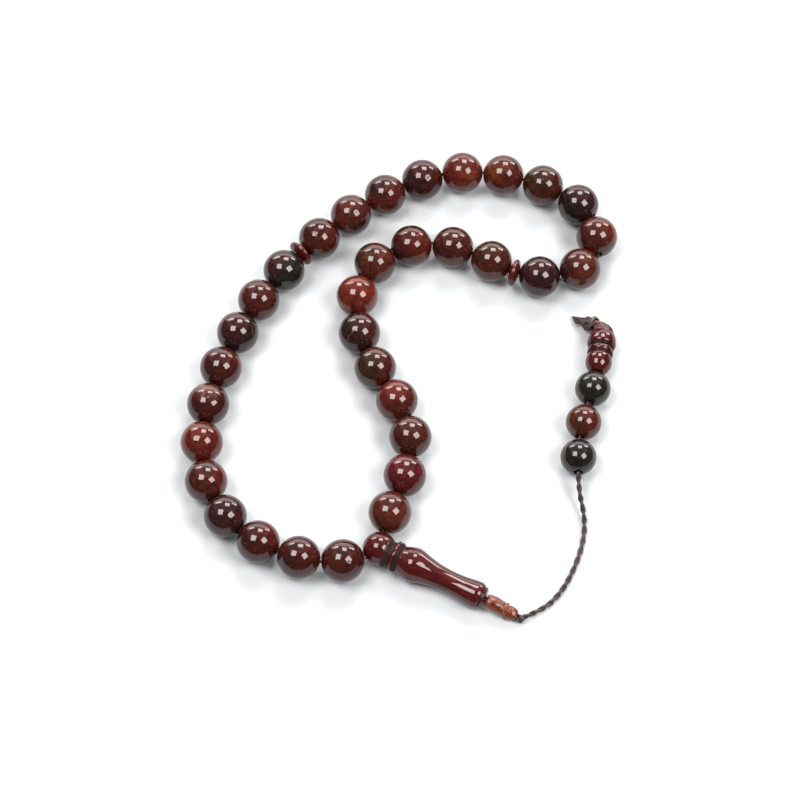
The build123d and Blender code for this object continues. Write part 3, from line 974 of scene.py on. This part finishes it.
def strands_over_end(top, axis, run):
    """The cord's strands laid over the terminal's ringed end, and the cord under them, up to the whipping."""
    side = axis.cross(Vector((0, 0, 1))).normalized()
    up = side.cross(axis)
    across = run.cross(Vector((0, 0, 1))).normalized()
    parts = []
    for i, (along, reach) in enumerate(STRANDS):
        place = i - (len(STRANDS) - 1) / 2
        points = []
        for angle, slide in STRAND_TURNS:
            a = math.radians(angle)
            out = side * math.cos(a) + up * math.sin(a)
            points.append(top + axis * (along + slide) * MM + out * reach * MM)
        points.append(KNOT_WRAP_AT - run * 0.12 + across * place * 0.4 * MM + up * 0.25 * MM)
        points.append(KNOT_WRAP_AT + run * 0.12 + across * place * 0.3 * MM)
        line = evenly(spline_points(points), 0.1 * MM)
        parts.append(tube_along(line, lambda t: STRAND_R * MM, 18, 3, 0.08, lay(2.4)))
    core_points = [top - axis * 1.2 * MM, top + axis * 0.1 * MM, (top + KNOT_WRAP_AT) / 2,
                   KNOT_WRAP_AT + run * 0.1]
    core_line = evenly(spline_points(core_points), 0.15 * MM)
    parts.append(tube_along(core_line, lambda t: KNOT_CORE_R * MM, 28, 5, 0.1, lay(3)))
    return joined(parts)


def knot_swelling(run):
    """The lump past the whipping, with two hitches round it."""
    sag = Vector((0, -0.62 * MM, 0))
    points = [KNOT_WRAP_AT - run * 0.02, KNOT_WRAP_AT + run * 0.25 + sag, KNOT_WRAP_AT + run * 0.6 + sag,
              TIP_START + run * 0.1]
    line = evenly(spline_points(points), 0.1 * MM)

    def radius_at(t):
        return (0.55 + 1.0 * math.sin(math.pi * min(1.0, 0.22 + 0.78 * t)) ** 0.9) * MM

    parts = [tube_along(line, radius_at, 48, 6, 0.12, lay(5.2))]
    t = np.linspace(0, 2 * math.pi, 60)
    first, other = axis_frame(run.normalized())
    tilt = np.outer(np.sin(t), run.normalized()) * 0.5 * MM
    for offset, phase in HITCHES:
        out = np.outer(np.cos(t + phase), first) + np.outer(np.sin(t + phase), other)
        line = np.array(KNOT_WRAP_AT + run * offset + sag * 0.8) + out * HITCH_RING_R * MM + tilt
        parts.append(tube_along(line, lambda s: HITCH_R * MM, 16, 3, 0.12, lay(2.2)))
    points, faces = joined(parts)
    return laid_on_floor(points), faces


def whipping_turns():
    """Thread wound a little over twice round the knot's neck."""
    run = WRAP_AXIS.normalized()
    side, other = axis_frame(run)
    t = np.linspace(0, 2 * math.pi * WRAP_TURNS, 130)
    out = np.outer(np.cos(t), side) + np.outer(np.sin(t), other)
    shift = (t / (2 * math.pi) - WRAP_TURNS / 2) * 0.36 * MM
    helix = np.array(KNOT_WRAP_AT) + out * WRAP_RING_R * MM + np.outer(shift, run)
    return tube_along(helix, lambda s: WRAP_R * MM, 12, 3, 0.18, lay(0.9))


def cut_end():
    """The cord's strands side by side, spreading a little to a slanting cut."""
    run = TIP_END - TIP_START
    across = run.cross(Vector((0, 0, 1))).normalized()
    parts = []
    for i in range(TIP_STRANDS):
        half = (TIP_STRANDS - 1) / 2
        share = (i - half) / half
        cut = 0.95 + 0.06 * math.cos(2.6 * i) + 0.32 * share
        lift = Vector((0, 0, 0.10 * math.sin(1.9 * i) * MM))
        points = [
            TIP_START + across * 0.62 * share * MM - run * 0.2,
            TIP_START + run * 0.3 * cut + across * 0.62 * share * MM + lift,
            TIP_START + run * 0.7 * cut + across * 0.75 * share * MM + lift * 0.5,
            TIP_START + run * cut + across * 0.88 * share * MM,
        ]
        line = evenly(spline_points(points), 0.1 * MM)
        parts.append(tube_along(line, lambda t: (0.31 - 0.06 * t) * MM, 12, 3, 0.12, lay(1.4)))
    points, faces = joined(parts)
    return laid_on_floor(points), faces


def build_end_knot(cord_material, strand_material, wrap_material):
    """The end knot's pieces: strands over the terminal's end, a swelling, a whipping and the cut tip."""
    start, axis = terminal_axis()
    top = start + axis * TERMINAL_LENGTH * MM
    run = TIP_START - KNOT_WRAP_AT
    folded = strands_over_end(top, axis, run)
    return [
        add_piece("folded_strands", *folded, strand_material, "tail", "cord", ["end_knot"]),
        add_piece("tied_end_knot", *knot_swelling(run), cord_material, "tail", "cord", ["end_knot"]),
        add_piece("whipping", *whipping_turns(), wrap_material, "tail", "wrap", ["knot_wrap"]),
        add_piece("frayed_cord_tip", *cut_end(), cord_material, "tail", "cord", ["cord_tip"]),
    ]


# ---------------------------------------------------------------------------------------------------
# The whole
# ---------------------------------------------------------------------------------------------------
# Each thread's light colour is part wear, part painted highlight on its crests; its valleys keep the dark colour
# as painted shade.
cord_material = thread_material("cord_thread", (0.0080, 0.0045, 0.0055), (0.125, 0.078, 0.066), 4.5)
strand_material = thread_material("strand_thread", (0.035, 0.0050, 0.0045), (0.17, 0.034, 0.026), 4.5,
                                  coat=1.0, coat_roughness=0.07)
wrap_material = thread_material("wrap_thread", (0.022, 0.018, 0.013), (0.26, 0.20, 0.13), 3.0)
string_material = thread_material("string_thread", (0.010, 0.006, 0.007), (0.05, 0.028, 0.03), 6.0)

build_stage()
tail_beads = build_balls()
build_dividers()
build_leader()
build_collar_bead()
terminal = build_terminal()
build_neck_knot(cord_material)
knot_pieces = build_end_knot(cord_material, strand_material, wrap_material)
build_tail_cord(cord_material)

loop_string = frame["nodes"]["loop_string"]
loop_string.data.materials.clear()
loop_string.data.materials.append(string_material)
